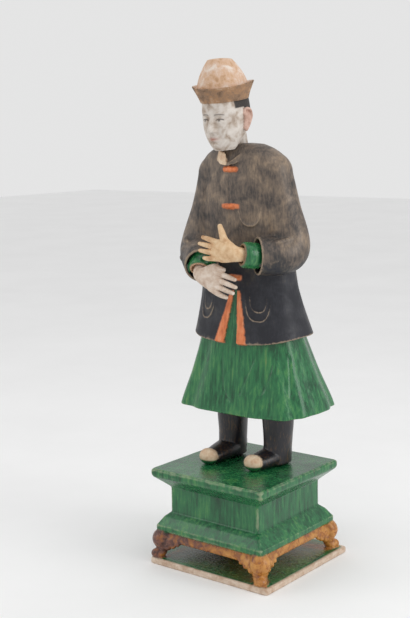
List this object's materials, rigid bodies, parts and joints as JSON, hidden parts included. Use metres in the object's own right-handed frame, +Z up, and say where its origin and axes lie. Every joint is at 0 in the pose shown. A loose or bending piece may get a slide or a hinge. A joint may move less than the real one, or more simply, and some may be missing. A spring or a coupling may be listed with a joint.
{
  "type": "dignitary figure",
  "caption": "Standing official in hat, jacket, skirt and boots, hands before the belly, on a square footed pedestal, in glazed and painted pottery.",
  "frame": {"origin": "under the middle of the whole object, on the plane of the base slab's underside", "axes": "+Z up; the figure faces -Y, with its left side towards +X"},
  "size_m": [0.2876, 0.2569, 0.8949],
  "materials": {
    "green_glaze": "lead-glazed pottery: copper green pedestal, amber footed stand, green slab with a bare clay edge",
    "robe_glaze": "glazed pottery: worn brown-black jacket, green skirt, black boots, orange facings",
    "painted_clay": "unglazed pottery, cold painted and worn, with pale slip and earth stains",
    "bare_clay": "unglazed pottery with worn flesh-coloured slip"
  },
  "bodies": {
    "root": {"plinth": "green_glaze", "robed_body": "robe_glaze", "head": "painted_clay", "left_hand": "bare_clay", "right_hand": "bare_clay"}
  },
  "joints": []
}
